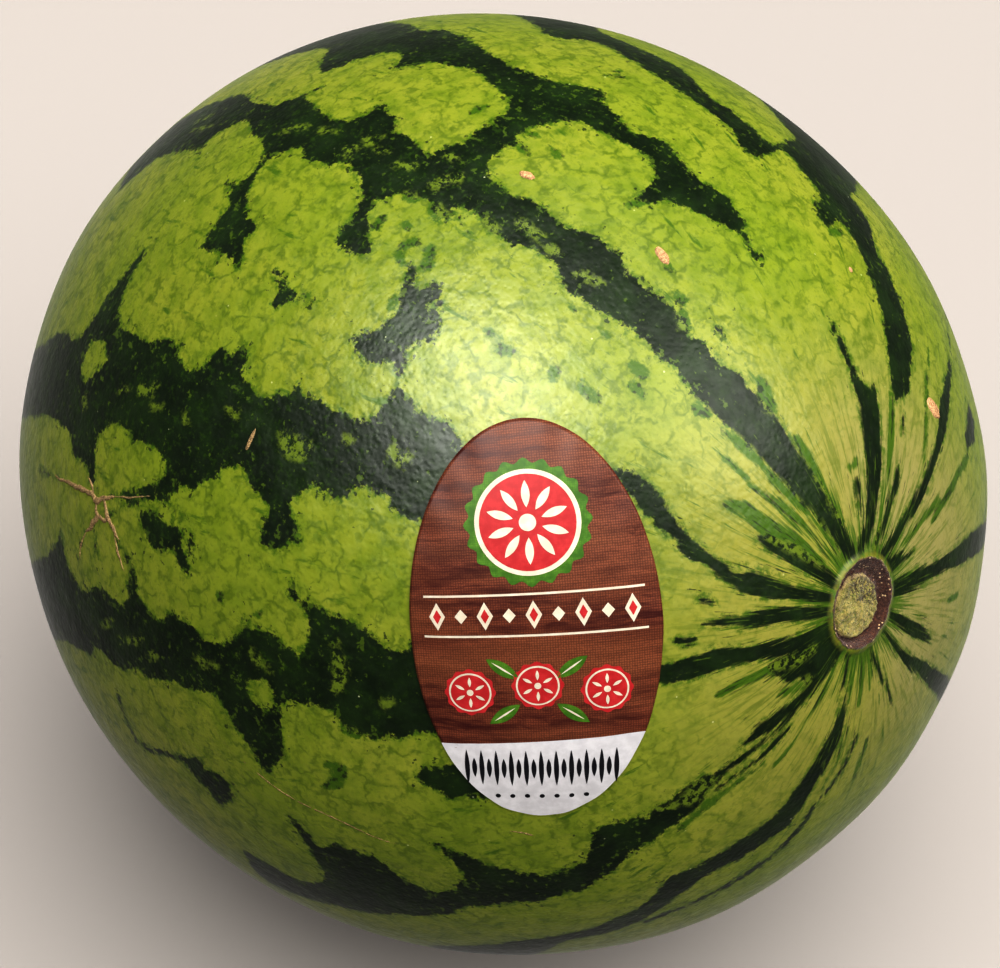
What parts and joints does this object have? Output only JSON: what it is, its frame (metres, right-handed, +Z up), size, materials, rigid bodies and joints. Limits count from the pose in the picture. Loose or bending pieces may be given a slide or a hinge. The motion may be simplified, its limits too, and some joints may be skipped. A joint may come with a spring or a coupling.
{
  "type": "watermelon",
  "caption": "Whole striped watermelon lying on a small flat spot, stem end tipped up, with a plain oval label on its side.",
  "frame": {"origin": "on the floor under the middle of the fruit, inside the flat spot that it rests on", "axes": "+Z up, +X the level heading of the stem end, which is tipped up by 24 degrees, -Y the side that bears the label"},
  "size_m": [0.224, 0.1993, 0.2064],
  "materials": {
    "rind": "waxy fruit rind, light green with dark green bands, soft sheen",
    "label_paper": "printed paper sticker with a thin gloss film"
  },
  "bodies": {
    "root": {"fruit": "rind", "label": "label_paper"}
  },
  "joints": []
}
